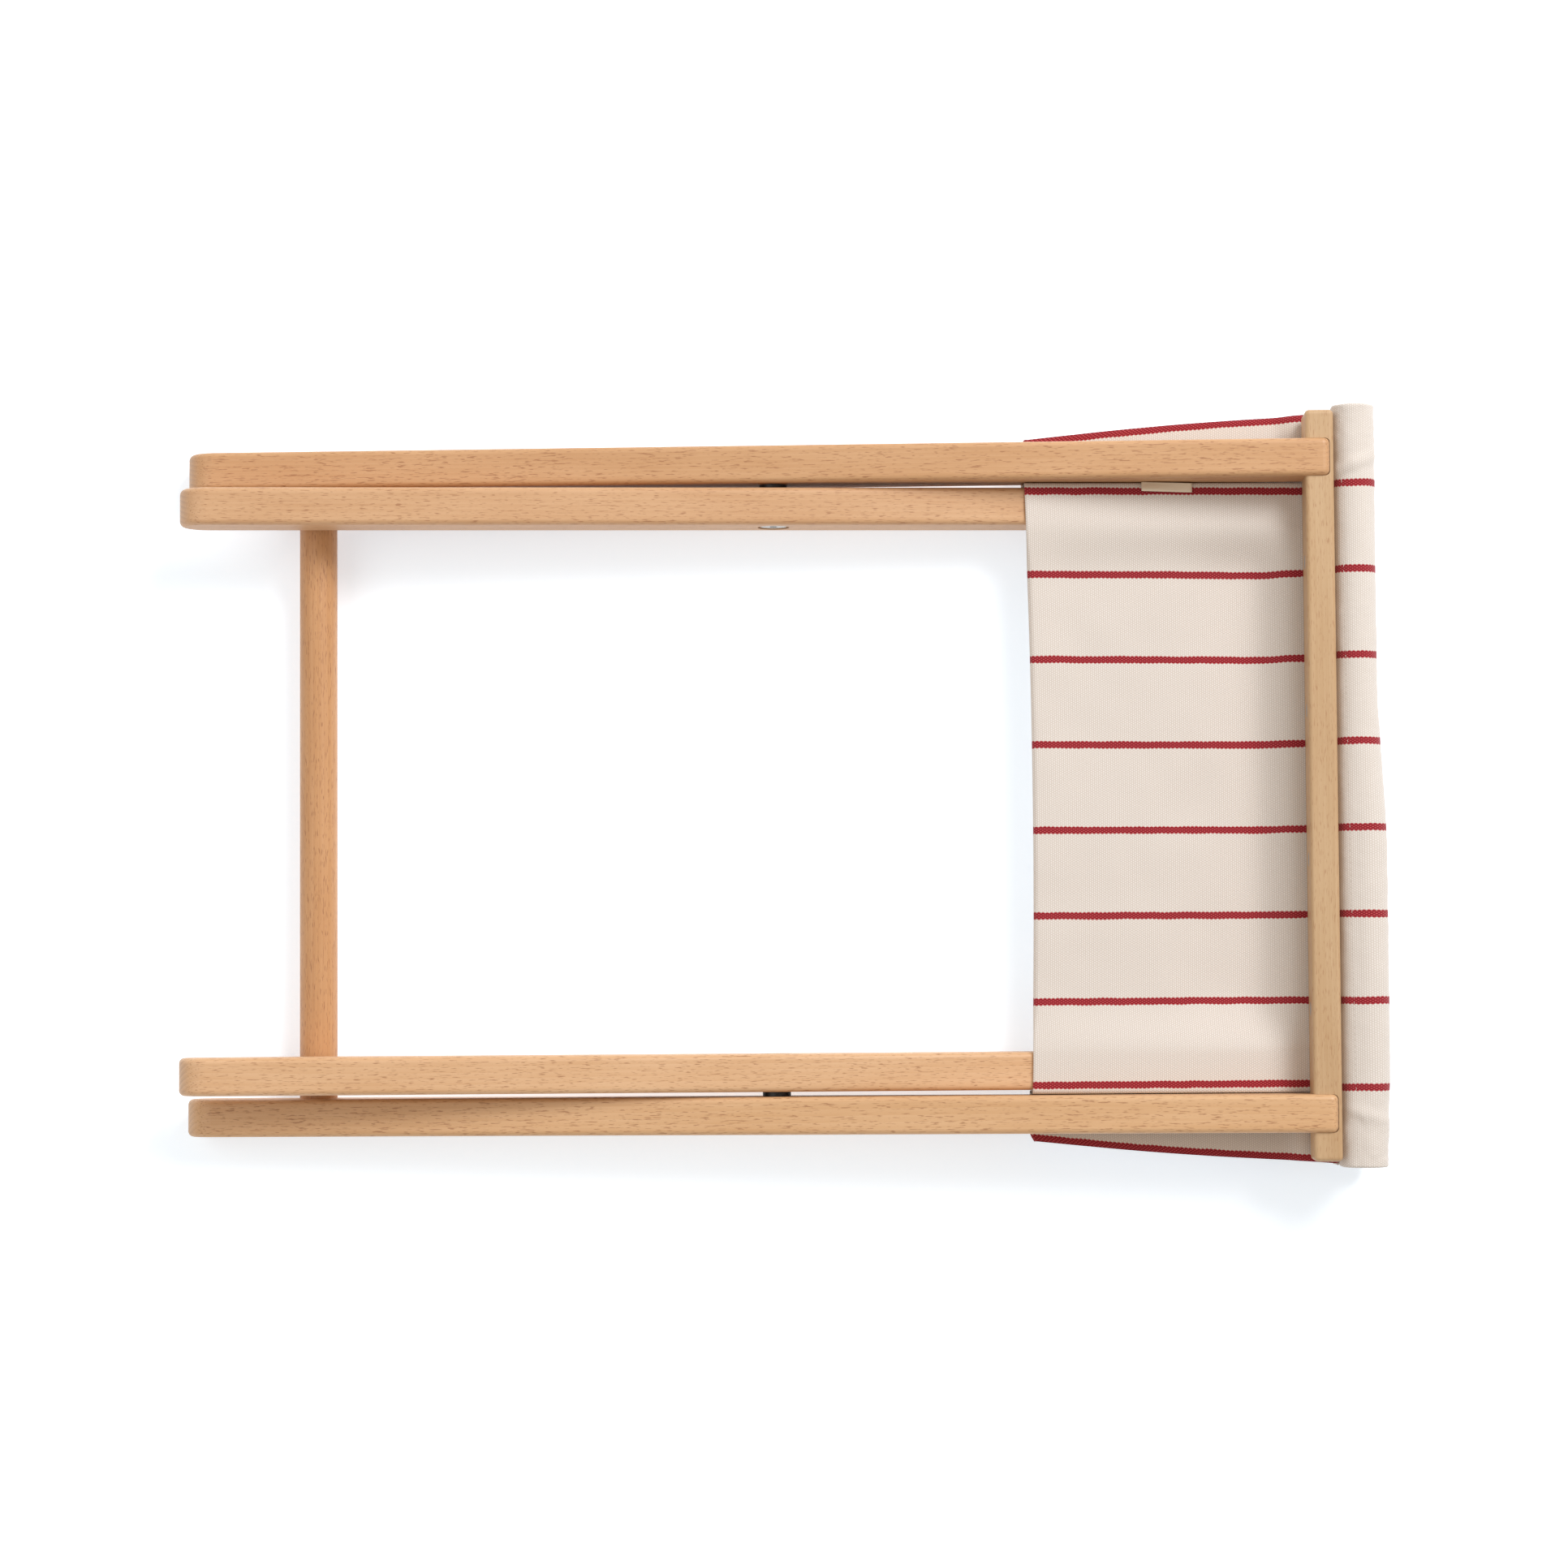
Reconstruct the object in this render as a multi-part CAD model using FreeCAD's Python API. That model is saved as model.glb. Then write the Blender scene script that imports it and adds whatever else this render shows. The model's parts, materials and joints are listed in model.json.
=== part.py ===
"""A folding camp stool, lying folded flat.

Two leg frames of beech are crossed like an X and turn on one pivot axis. The outer frame
has its legs outside those of the inner frame. Each frame carries a top rail and, beyond
it, a round seat bar in the sewn pocket of a striped canvas seat. The seat hangs doubled
between the frames.

Every length is in millimetres and every angle in degrees. +X runs from the feet to the
seat end, +Y across the stool, +Z up from the ground that the folded stool lies on. The
origin is the middle of the bottom of the whole stool's box.
"""
import FreeCAD, Part
import math
import os

Vec = FreeCAD.Vector
PIVOT = Vec(0, 0, 0)
ACROSS = Vec(0, 1, 0)
UP = Vec(0, 0, 1)

# ---- legs ------------------------------------------------------------------------------
leg_thickness = 20.0          # across the stool
leg_depth = 30.0              # in the plane that the frames swing in
foot_reach = 315.0            # pivot to the end of the foot
top_reach = 295.0             # pivot to the top end
outer_leg_spacing = 345.6     # centre to centre
leg_gap = 2.6                 # between the inner and the outer leg of one side
leg_top_radius = 4.0          # at the corners of the top end
leg_edge_radius = 3.0         # along the long edges

# ---- top rails -------------------------------------------------------------------------
rail_proud = 2.0              # past the legs' top ends
rail_width = 15.0             # along the legs
rail_depth = 25.0
rail_overhang = 15.2          # past the outer side of each outer leg
rail_edge_radius = 2.4
rail_notch_fit = 0.3          # how much sharper the notches' corners are than the legs'

# ---- stretcher -------------------------------------------------------------------------
stretcher_reach = 245.0       # pivot to the stretcher, on the feet's side
stretcher_diameter = 20.0
tenon_diameter = 14.0
tenon_length = 14.0
folded_gap = 1.2              # the doubled seat keeps the inner legs this far off it

# ---- seat bars, pockets and canvas -----------------------------------------------------
bar_diameter = 20.0
bar_end_gap = 4.0             # the bar ends this far inside its pocket
cloth_thickness = 0.7
cloth_clearance = 0.25        # between the canvas and what it lies against
pocket_overhang = 3.0         # past each end of the rail
pocket_ease = 0.15            # between the bar and its pocket
seat_half_length = 161.5      # from the fold of the doubled seat to its seam at the pocket
seat_seam_gap = 0.5           # between that end of the panel and the rail's outer edge
seat_overhang_at_fold = 4.7   # past the outer side of each outer leg
seat_overhang_at_seam = 15.2

# ---- side tag --------------------------------------------------------------------------
tag_from_fold = 58.0          # from the seat's fold to the tag
tag_width = 28.0
tag_show = 6.0                # how far it reaches in over the inner leg
tag_thickness = 0.4

# ---- pivots ----------------------------------------------------------------------------
sleeve_diameter = 8.0         # the smooth barrel of the sleeve nut
pivot_clearance = 0.05        # radial, between the barrel and the inner leg
thread_diameter = 6.0
thread_clearance = 0.05
thread_engagement = 24.0
head_diameter = 15.0
head_thickness = 2.0
head_sink = 0.4               # from the leg's face down to the head
head_float = 0.2              # under the head that the inner leg turns against
recess_diameter = 17.0
hex_key_width = 4.0
hex_key_depth = 1.4
spacer_diameter = 15.0
spacer_float = 0.1            # between the spacer and the inner leg

# ---- wood screws -----------------------------------------------------------------------
screw_diameter = 4.0
screw_head_diameter = 7.6
screw_head_height = 2.2
rail_screw_length = 22.0
bar_screw_length = 25.0
bar_screw_count = 4
bar_screw_inset = 22.0        # from the inner legs to the first and last bar screw

# ---- what follows from the sizes above -------------------------------------------------
inner_leg_spacing = outer_leg_spacing - 2.0 * (leg_thickness + leg_gap)
outer_width = outer_leg_spacing + leg_thickness
rail_end = top_reach + rail_proud
rail_start = rail_end - rail_width
rail_length = outer_width + 2.0 * rail_overhang
pocket_length = rail_length + 2.0 * pocket_overhang
seat_seam_reach = rail_end - seat_seam_gap
seat_fold_reach = seat_seam_reach - seat_half_length
tag_start = seat_fold_reach + tag_from_fold
bar_screw_reach = (inner_leg_spacing - leg_thickness) / 2.0 - bar_screw_inset
bar_screw_step = 2.0 * bar_screw_reach / (bar_screw_count - 1)
bar_screw_places = [bar_screw_step * place - bar_screw_reach for place in range(bar_screw_count)]
pocket_radius = bar_diameter / 2.0 + pocket_ease + cloth_thickness
bar_reach = rail_end + cloth_clearance + pocket_radius
fold_angle = math.degrees(math.asin(
    (leg_depth / 2.0 + stretcher_diameter / 2.0 + folded_gap) / stretcher_reach))
half_angle = fold_angle / 2.0
SIDES = (("left", 1.0), ("right", -1.0))


# ---- small helpers ---------------------------------------------------------------------
def box(x0, x1, y0, y1, z0, z1):
    """A box between two opposite corners."""
    return Part.makeBox(x1 - x0, y1 - y0, z1 - z0, Vec(x0, y0, z0))


def rod_y(radius, y0, y1, x=0.0, z=0.0):
    """A round bar along Y between y0 and y1."""
    return Part.makeCylinder(radius, abs(y1 - y0), Vec(x, min(y0, y1), z), ACROSS)


def ring_y(outer_radius, inner_radius, y0, y1, x=0.0, z=0.0):
    """A round tube along Y between y0 and y1."""
    bore = rod_y(inner_radius, y0, y1, x, z)
    return rod_y(outer_radius, y0, y1, x, z).cut(bore)


def swing(shape, frame):
    """Lean a piece of a frame by half the folded angle; the inner frame mirrors the outer.

    Pieces are drawn as for the outer frame: +X to the seat end, the canvas on the -Z side.
    """
    leaned = shape.copy()
    leaned.rotate(PIVOT, ACROSS, -half_angle)
    if frame == "inner":
        leaned = leaned.mirror(PIVOT, UP)
    return leaned


def leg_centre(frame):
    """How far a frame's legs stand from the middle of the stool."""
    spacing = outer_leg_spacing if frame == "outer" else inner_leg_spacing
    return spacing / 2.0


# ---- the leg frames --------------------------------------------------------------------
def leg_blank():
    """A leg with a round foot, a square top with eased corners, and eased long edges."""
    half = leg_depth / 2.0
    ease = leg_top_radius
    foot_centre = -foot_reach + half
    corner = ease * (1.0 - math.sqrt(0.5))
    side = -leg_thickness / 2.0

    def at(x, z):
        return Vec(x, side, z)

    outline = [
        Part.Arc(at(foot_centre, half), at(-foot_reach, 0), at(foot_centre, -half)).toShape(),
        Part.LineSegment(at(foot_centre, -half), at(top_reach - ease, -half)).toShape(),
        Part.Arc(at(top_reach - ease, -half), at(top_reach - corner, -half + corner),
                 at(top_reach, -half + ease)).toShape(),
        Part.LineSegment(at(top_reach, -half + ease), at(top_reach, half - ease)).toShape(),
        Part.Arc(at(top_reach, half - ease), at(top_reach - corner, half - corner),
                 at(top_reach - ease, half)).toShape(),
        Part.LineSegment(at(top_reach - ease, half), at(foot_centre, half)).toShape(),
    ]
    blank = Part.Face(Part.Wire(outline)).extrude(Vec(0, leg_thickness, 0))
    rims = []
    for edge in blank.Edges:
        span = edge.BoundBox
        if span.YLength < 1e-6:
            rims.append(edge)
    return blank.makeFillet(leg_edge_radius, rims)


def rail_notch(y):
    """The half-lap notch that a leg at y has in its canvas side for the top rail."""
    half = leg_thickness / 2.0
    return box(rail_start, rail_end, y - half, y + half, -leg_depth / 2.0, 0.0)


def rail_screw(y):
    """A countersunk screw from the rail's canvas side into the leg at y."""
    middle = rail_start + rail_width / 2.0
    return wood_screw(Vec(middle, y, -rail_depth / 2.0), UP, rail_screw_length)


def bar_screw(y):
    """A countersunk screw through the rail, from its near edge into the seat bar."""
    return wood_screw(Vec(rail_start, y, 0.0), Vec(1, 0, 0), bar_screw_length)


def wood_screw(tip, along, length):
    """A countersunk wood screw whose flat head starts at a point and points along an axis."""
    head = Part.makeCone(screw_head_diameter / 2.0, screw_diameter / 2.0, screw_head_height,
                         tip, along)
    taper = screw_diameter
    shank = Part.makeCylinder(screw_diameter / 2.0, length - taper, tip, along)
    point_base = tip + Vec(along).multiply(length - taper)
    point = Part.makeCone(screw_diameter / 2.0, screw_diameter / 10.0, taper, point_base, along)
    return head.fuse([shank, point]).removeSplitter()


def leg(frame, sign):
    """One leg, notched for its rail and bored for its pivot and, outside, the stretcher."""
    y = sign * leg_centre(frame)
    half = leg_thickness / 2.0
    inner_face = y - sign * half
    outer_face = y + sign * half
    shape = leg_blank()
    shape.translate(Vec(0, y, 0))
    shape = shape.cut(rail_notch(y)).cut(rail_screw(y))
    if frame == "outer":
        recess_face = outer_face
        recess_floor = outer_face - sign * (head_sink + head_thickness)
        bore_radius = sleeve_diameter / 2.0
        tenon = rod_y(tenon_diameter / 2.0, inner_face, inner_face + sign * tenon_length,
                      -stretcher_reach)
        shape = shape.cut(tenon)
    else:
        recess_face = inner_face
        recess_floor = inner_face + sign * (head_sink + head_thickness + head_float)
        bore_radius = sleeve_diameter / 2.0 + pivot_clearance
    shape = shape.cut(rod_y(recess_diameter / 2.0, recess_face, recess_floor))
    return shape.cut(rod_y(bore_radius, inner_face, outer_face))


def top_rail(frame):
    """The rail across a frame's leg tops, notched where each leg laps over it.

    The notches stop at the legs' ends, so the rail's far edge runs on past them. Their
    corners are rounded like the legs', so no gap shows round a leg's end.
    """
    half_depth = rail_depth / 2.0
    rail = box(rail_start, rail_end, -rail_length / 2.0, rail_length / 2.0,
               -half_depth, half_depth)
    rail = rail.makeFillet(rail_edge_radius, rail.Edges)
    half_leg = leg_thickness / 2.0
    for name, sign in SIDES:
        y = sign * leg_centre(frame)
        notch = box(rail_start, top_reach, y - half_leg, y + half_leg, 0, half_depth)
        corners = []
        for edge in notch.Edges:
            span = edge.BoundBox
            if span.ZLength > half_depth / 2.0 and span.XMin > top_reach - 1e-6:
                corners.append(edge)
        rail = rail.cut(notch.makeFillet(leg_edge_radius - rail_notch_fit, corners))
        rail = rail.cut(rail_screw(y))
    for y in bar_screw_places:
        rail = rail.cut(bar_screw(y))
    return rail


def stretcher():
    """The round rod between the outer legs, with a thinner tenon in each leg."""
    shoulder = leg_centre("outer") - leg_thickness / 2.0
    reach = shoulder + tenon_length
    rod = rod_y(stretcher_diameter / 2.0, -shoulder, shoulder, -stretcher_reach)
    tenons = rod_y(tenon_diameter / 2.0, -reach, reach, -stretcher_reach)
    return rod.fuse(tenons).removeSplitter()


def seat_bar():
    """The round bar in a seat pocket, with a hole for each screw from the rail."""
    half = pocket_length / 2.0 - bar_end_gap
    bar = rod_y(bar_diameter / 2.0, -half, half, bar_reach)
    for y in bar_screw_places:
        bar = bar.cut(bar_screw(y))
    return bar


# ---- the canvas ------------------------------------------------------------------------
def seat_pocket():
    """The sewn pocket round a seat bar, with the seam that turns in between bar and rail."""
    half = pocket_length / 2.0
    tube = rod_y(pocket_radius, -half, half, bar_reach)
    seam_start = rail_end + cloth_clearance
    seam = box(seam_start, seam_start + cloth_thickness, -half, half, -rail_depth / 2.0, 0.0)
    hollow = rod_y(pocket_radius - cloth_thickness, -half, half, bar_reach)
    whole = tube.fuse(seam).cut(hollow).removeSplitter()
    for y in bar_screw_places:
        whole = whole.cut(bar_screw(y))
    return whole


def inner_leg_face(x):
    """Height of the inner legs' canvas side above the fold plane, at a distance x.

    Past the legs' crossing, where the rails keep the canvas level, it stays just below zero.
    """
    lean = math.radians(half_angle)
    face = leg_depth / 2.0 / math.cos(lean) - x * math.tan(lean)
    return max(face, -cloth_clearance)


def seat_face(x):
    """Height of the straight line that the canvas follows over the inner legs."""
    share = (x - seat_fold_reach) / seat_half_length
    return (1.0 - share) * inner_leg_face(seat_fold_reach) + share * inner_leg_face(seat_seam_reach)


def layer_section(x, layer, half_width):
    """Outline across the seat at x: over the inner legs, down each gap, under the outer.

    Layer 0 is the half that hangs from the inner frame, layer 1 the one above it.
    """
    step = cloth_thickness + cloth_clearance
    inner_outside = leg_centre("inner") + leg_thickness / 2.0
    wall_in = inner_outside + cloth_clearance + layer * step
    wall_out = wall_in + cloth_thickness
    high = seat_face(x) + cloth_clearance + layer * step
    low = -seat_face(x) - cloth_clearance - (1 - layer) * step - cloth_thickness
    right_half = [
        (wall_out, high + cloth_thickness), (wall_out, low + cloth_thickness),
        (half_width, low + cloth_thickness), (half_width, low),
        (wall_in, low), (wall_in, high),
    ]
    left_half = [(-y, z) for y, z in reversed(right_half)]
    points = [Vec(x, y, z) for y, z in right_half + left_half]
    return Part.makePolygon(points + points[:1])


def seat_panel(layer):
    """One half of the doubled seat, from its fold to the far edge of its rail."""
    sections = [
        layer_section(seat_fold_reach, layer, outer_width / 2.0 + seat_overhang_at_fold),
        layer_section(seat_seam_reach, layer, outer_width / 2.0 + seat_overhang_at_seam),
    ]
    return Part.makeLoft(sections, True, True)


def side_tag():
    """A blank ribbon tag on the upper half of the seat, over the inner leg."""
    step = cloth_thickness + cloth_clearance
    outside = leg_centre("inner") + leg_thickness / 2.0
    sections = []
    for x in (tag_start, tag_start + tag_width):
        base = seat_face(x) + 2.0 * step
        corners = [
            (outside - tag_show, base), (outside, base),
            (outside, base + tag_thickness), (outside - tag_show, base + tag_thickness),
        ]
        points = [Vec(x, y, z) for y, z in corners]
        sections.append(Part.makePolygon(points + points[:1]))
    return Part.makeLoft(sections, True, True)


# ---- the pivots ------------------------------------------------------------------------
def head_underside(sign):
    """Where the bolt's head meets the end of the sleeve, on one side of the stool."""
    inner_face = leg_centre("inner") - leg_thickness / 2.0
    return sign * (inner_face + head_sink + head_thickness)


def hex_key_hole(face, floor):
    """A hexagonal hole for a key, between two places along Y."""
    corner_radius = hex_key_width / math.sqrt(3.0)
    points = []
    for turn in range(7):
        angle = math.radians(60.0 * turn)
        points.append(Vec(corner_radius * math.cos(angle), face,
                          corner_radius * math.sin(angle)))
    return Part.Face(Part.makePolygon(points)).extrude(Vec(0, floor - face, 0))


def flat_head(face, underside):
    """A flat round head with an eased rim on its outer face and a key hole in it."""
    head = rod_y(head_diameter / 2.0, face, underside)
    rim = [edge for edge in head.Edges
           if edge.BoundBox.YLength < 1e-6 and abs(edge.BoundBox.YMin - face) < 1e-6]
    head = head.makeFillet(head_thickness * 0.4, rim)
    inward = 1.0 if underside > face else -1.0
    return head.cut(hex_key_hole(face, face + inward * hex_key_depth))


def pivot_sleeve_nut(sign):
    """The flanged sleeve in the outer leg; the inner leg turns on its barrel."""
    outer_face = leg_centre("outer") + leg_thickness / 2.0
    face = sign * (outer_face - head_sink)
    underside = face - sign * head_thickness
    end = head_underside(sign)
    barrel = rod_y(sleeve_diameter / 2.0, underside, end)
    nut = flat_head(face, underside).fuse(barrel).removeSplitter()
    bore_radius = thread_diameter / 2.0 + thread_clearance
    bore_length = thread_engagement + thread_diameter / 2.0
    return nut.cut(rod_y(bore_radius, end, end + sign * bore_length))


def pivot_bolt(sign):
    """The flat-headed bolt that screws into the sleeve from inside the stool."""
    end = head_underside(sign)
    face = end - sign * head_thickness
    shank = rod_y(thread_diameter / 2.0, end, end + sign * thread_engagement)
    return flat_head(face, end).fuse(shank).removeSplitter()


def spacer_washer(sign):
    """The plain washer between the inner and the outer leg."""
    outer_inside = leg_centre("outer") - leg_thickness / 2.0
    thickness = leg_gap - spacer_float
    return ring_y(spacer_diameter / 2.0, sleeve_diameter / 2.0,
                  sign * outer_inside, sign * (outer_inside - thickness))


# ---- the whole stool -------------------------------------------------------------------
def build():
    """Every piece of the folded stool by name, about the pivot axis."""
    pieces = {}
    for frame in ("outer", "inner"):
        for name, sign in SIDES:
            pieces[frame + "_leg_" + name] = swing(leg(frame, sign), frame)
        pieces[frame + "_top_rail"] = swing(top_rail(frame), frame)
        pieces[frame + "_seat_bar"] = swing(seat_bar(), frame)
        rail_screws = [rail_screw(sign * leg_centre(frame)) for name, sign in SIDES]
        bar_screws = [bar_screw(y) for y in bar_screw_places]
        pieces[frame + "_rail_screws"] = swing(Part.makeCompound(rail_screws), frame)
        pieces[frame + "_bar_screws"] = swing(Part.makeCompound(bar_screws), frame)
        pieces["seat_pocket_" + frame] = swing(seat_pocket(), frame)
    pieces["outer_stretcher"] = swing(stretcher(), "outer")
    for name, sign in SIDES:
        pieces["pivot_sleeve_nut_" + name] = pivot_sleeve_nut(sign)
        pieces["pivot_bolt_" + name] = pivot_bolt(sign)
        pieces["spacer_washer_" + name] = spacer_washer(sign)
    pieces["seat_cloth_back"] = seat_panel(0)
    pieces["seat_cloth_front"] = seat_panel(1)
    pieces["side_tag"] = side_tag()
    return pieces


def main():
    """Build every piece, stand the stool on its origin and write one STEP file per piece."""
    os.makedirs("parts", exist_ok=True)
    pieces = build()
    span = Part.makeCompound(list(pieces.values())).optimalBoundingBox(False, False)
    origin = Vec(span.Center.x, span.Center.y, span.ZMin)
    for name, shape in pieces.items():
        shape.translate(origin.negative())
        shape.exportStep("parts/" + name + ".step")
        box_of = shape.BoundBox
        print("%-26s solids %d valid %s volume %.0f  z %.2f to %.2f" % (
            name, len(shape.Solids), shape.isValid(), shape.Volume, box_of.ZMin, box_of.ZMax))
    print("pivot axis at x %.3f z %.3f" % (-origin.x, -origin.z))
    print("box %.2f x %.2f x %.2f" % (span.XLength, span.YLength, span.ZLength))
    print("folded angle %.3f" % fold_angle)


main()
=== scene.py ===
"""A folding camp stool of beech and striped canvas, lying folded flat on a pale floor.

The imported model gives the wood, the pivots and the screws. This script dresses them and
makes the soft parts: the doubled canvas seat, its two bar pockets, their stitching and a
blank side tag. Sizes are in millimetres about the pivot axis, with X from the feet to the
seat end, Y across the stool and Z up. They become metres as a mesh is made.
"""
import json
import logging
import math
from dataclasses import dataclass, field
from enum import Enum
from typing import Callable

import bmesh
import bpy
from mathutils import Euler, Matrix, Vector, noise


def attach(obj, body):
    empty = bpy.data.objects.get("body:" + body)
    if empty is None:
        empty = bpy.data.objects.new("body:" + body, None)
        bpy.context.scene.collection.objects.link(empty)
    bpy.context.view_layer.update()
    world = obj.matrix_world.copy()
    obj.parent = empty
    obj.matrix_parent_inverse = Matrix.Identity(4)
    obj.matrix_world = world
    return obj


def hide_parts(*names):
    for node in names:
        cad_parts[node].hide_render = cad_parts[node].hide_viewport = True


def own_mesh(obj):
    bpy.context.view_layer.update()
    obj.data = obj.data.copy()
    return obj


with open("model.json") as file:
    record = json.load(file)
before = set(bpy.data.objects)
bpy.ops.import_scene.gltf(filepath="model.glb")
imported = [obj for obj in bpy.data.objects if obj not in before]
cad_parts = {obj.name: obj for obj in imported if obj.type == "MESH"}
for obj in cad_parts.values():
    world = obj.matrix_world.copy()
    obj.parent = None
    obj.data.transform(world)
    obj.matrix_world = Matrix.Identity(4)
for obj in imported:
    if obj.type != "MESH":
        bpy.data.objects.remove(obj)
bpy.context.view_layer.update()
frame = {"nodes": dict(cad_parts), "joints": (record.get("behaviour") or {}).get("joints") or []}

LOG = logging.getLogger("camp_stool")
Inputs = dict | tuple
MM = 0.001
FOLD_END = 137.0     # about where the doubled seat begins, from the pivot
LEG_MIDDLE = 150.0   # from the middle of the stool to an inner leg
ABOVE_LEG = 0.65     # from a leg's face to the middle of the canvas that lies on it
HALF_ANGLE = 3.0695  # degrees that each folded frame leans from the level


class Frame(Enum):
    """Which of the two crossed frames a piece belongs to; the value is the side it leans to."""

    OUTER = 1.0
    INNER = -1.0


class Grain(Enum):
    """Which way the fibres of a wooden piece run."""

    ALONG_LEG = "along the legs"
    ACROSS_STOOL = "across the stool"


# ---- small helpers ------------------------------------------------------------------------
def pivot_axis() -> Vector:
    """Returns a point of the stool's pivot axis, in metres."""
    fold = next(joint for joint in frame["joints"] if joint["name"] == "fold")
    return Vector(fold["pos_m"])


PIVOT = pivot_axis()


def place(x: float, y: float, z: float) -> Vector:
    """Returns the point, in metres, that lies x, y, z millimetres from the pivot axis."""
    return PIVOT + Vector((x, y, z)) * MM


def ease(share: float) -> float:
    """Returns a share from 0 to 1, eased at both ends."""
    held = min(1.0, max(0.0, share))
    return held * held * (3.0 - 2.0 * held)


def lerp(start: float, end: float, share: float) -> float:
    """Returns the value at a share of the way from start to end."""
    return start + (end - start) * share


def bell(offset: float, width: float) -> float:
    """Returns a smooth hump, one at no offset and fading past its width."""
    return math.exp(-((offset / width) ** 2))


def leaned(frame_side: Frame, along: float, rise: float) -> tuple[float, float]:
    """Turns a place in a frame's own plane to the stool's X and Z.

    Args:
        frame_side: The frame that the place belongs to.
        along: Millimetres from the pivot towards the seat end.
        rise: Millimetres away from the canvas.

    Returns:
        The X and Z of that place about the pivot axis.
    """
    lean = math.radians(HALF_ANGLE)
    x = along * math.cos(lean) - rise * math.sin(lean)
    z = along * math.sin(lean) + rise * math.cos(lean)
    return x, z * frame_side.value


def linear(code: str) -> tuple[float, float, float, float]:
    """Turns an sRGB hex colour to the linear values that a shader takes.

    Args:
        code: Six hex digits.

    Returns:
        Linear red, green and blue, and an alpha of one.
    """
    parts = [int(code[i:i + 2], 16) / 255.0 for i in (0, 2, 4)]
    red, green, blue = (
        part / 12.92 if part <= 0.04045 else ((part + 0.055) / 1.055) ** 2.4
        for part in parts
    )
    return red, green, blue, 1.0


def add(tree: bpy.types.NodeTree, kind: str, inputs: Inputs = (), output: int | str = 0,
        **settings) -> bpy.types.NodeSocket | None:
    """Adds one node, with its settings and its links.

    Args:
        tree: The node tree that gets the node.
        kind: The node's type, without its prefix.
        inputs: Values or output sockets, in the node's order or by name or number.
        output: Which output is wanted.
        **settings: Properties of the node itself.

    Returns:
        The wanted output socket, or nothing for the material's own output.
    """
    made = tree.nodes.new(f"ShaderNode{kind}")
    for name, value in settings.items():
        setattr(made, name, value)
    for socket, value in inputs.items() if isinstance(inputs, dict) else enumerate(inputs):
        if isinstance(value, bpy.types.NodeSocket):
            tree.links.new(value, made.inputs[socket])
        else:
            made.inputs[socket].default_value = value
    return made.outputs[output] if made.outputs else None


def new_material(name: str) -> tuple[bpy.types.Material, bpy.types.NodeTree]:
    """Makes a material with an empty node tree.

    Args:
        name: The material's common name and finish.

    Returns:
        The material and its node tree.
    """
    material = bpy.data.materials.new(name)
    material.use_nodes = True
    material.node_tree.nodes.clear()
    return material, material.node_tree


def dress(piece: bpy.types.Object, material: bpy.types.Material) -> None:
    """Gives a piece one material, in every slot it has."""
    if not piece.material_slots:
        piece.data.materials.append(material)
    for slot in piece.material_slots:
        slot.material = material


def to_object(name: str, mesh: bmesh.types.BMesh) -> bpy.types.Object:
    """Makes a smooth-shaded object at the origin from a finished bmesh, and frees that."""
    data = bpy.data.meshes.new(name)
    for face in mesh.faces:
        face.smooth = True
    mesh.to_mesh(data)
    mesh.free()
    piece = bpy.data.objects.new(name, data)
    bpy.context.scene.collection.objects.link(piece)
    LOG.info("%s: %d faces", name, len(data.polygons))
    return piece


def cloth_grid(rows: int, columns: int,
               spot: Callable[[float, float], tuple[float, float, Vector]]) -> bmesh.types.BMesh:
    """Makes a sheet from a flat grid, and lays it where a function says.

    Args:
        rows: Steps along the warp.
        columns: Steps across the cloth.
        spot: Takes the two shares of the grid, 0 to 1, and returns the cloth's own two
            measures in millimetres and the place of that spot in metres.

    Returns:
        The sheet as a bmesh, with the cloth's measures, in metres, as its UV map.
    """
    mesh = bmesh.new()
    bmesh.ops.create_grid(mesh, x_segments=rows, y_segments=columns, size=1.0)
    measures = {}
    for vertex in mesh.verts:
        along, across, where = spot((vertex.co.x + 1.0) / 2.0, (vertex.co.y + 1.0) / 2.0)
        measures[vertex.index] = (along * MM, across * MM)
        vertex.co = where
    layer = mesh.loops.layers.uv.new("cloth")
    for face in mesh.faces:
        for loop in face.loops:
            loop[layer].uv = measures[loop.vert.index]
    bmesh.ops.recalc_face_normals(mesh, faces=mesh.faces)
    return mesh


def thicken(piece: bpy.types.Object, thickness: float) -> None:
    """Gives a sheet its thickness in millimetres, half on each side."""
    solid = piece.modifiers.new("thickness", "SOLIDIFY")
    solid.thickness = thickness * MM
    solid.offset = 0.0


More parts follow.
